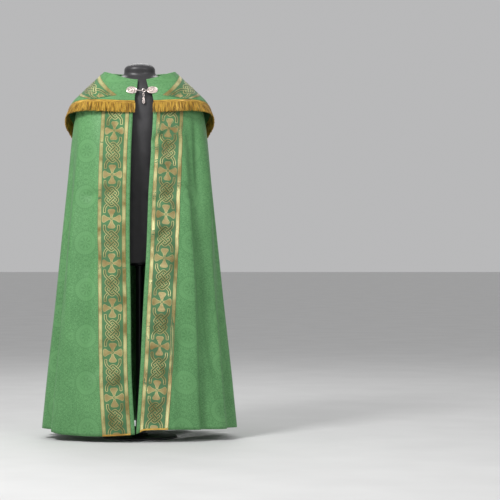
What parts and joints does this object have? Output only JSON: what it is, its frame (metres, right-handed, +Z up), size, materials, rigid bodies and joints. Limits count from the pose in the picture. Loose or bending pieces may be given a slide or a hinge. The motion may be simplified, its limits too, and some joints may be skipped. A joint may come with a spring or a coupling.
{
  "type": "cope vestment on a dress form",
  "caption": "Long open-fronted liturgical cope with fringed shield-shaped hood, woven orphreys and a hook-and-eye clasp, draped on a limbless dress form with a round base.",
  "frame": {"origin": "centre of the stand base's underside, on the floor", "axes": "+Z up, the cope's open front towards -Y, +X to the viewer's right when facing the front"},
  "size_m": [0.8039, 0.635, 1.547],
  "materials": {
    "green_damask": "satin damask, tone on tone",
    "orphrey_band": "woven galloon, gold on green",
    "gold_braid": "gold satin braid",
    "gold_fringe": "twisted gold bullion threads",
    "silver_braid": "silver metallic braid",
    "clasp_metal": "cast, aged silver colour",
    "form_black": "gloss black",
    "stand_black": "satin black paint"
  },
  "bodies": {
    "cope": {"front_left": "green_damask", "front_right": "green_damask", "back": "green_damask", "hood": "green_damask", "orphrey_left": "orphrey_band", "orphrey_right": "orphrey_band", "edging_left": "gold_braid", "edging_right": "gold_braid", "hood_band_left": "orphrey_band", "hood_band_right": "orphrey_band", "hood_band_stem": "orphrey_band", "medallion": "green_damask", "medallion_rim": "gold_braid", "medallion_cross": "silver_braid", "fringe_left": "gold_fringe", "fringe_right": "gold_fringe", "tassel": "gold_fringe", "clasp_hook": "clasp_metal", "clasp_eye": "clasp_metal", "form_torso": "form_black", "form_post": "stand_black", "form_base": "stand_black"},
    "drop": {"drop_link_1": "clasp_metal", "drop_link_2": "clasp_metal", "drop_link_3": "clasp_metal", "drop_pendant": "clasp_metal"}
  },
  "joints": [
    {"name": "drop_swing", "type": "hinge", "parent": "cope", "child": "drop", "pos_m": [0.016, -0.1213, 1.4185], "axis": [1, 0, 0], "range_deg": [-70, 5]}
  ]
}
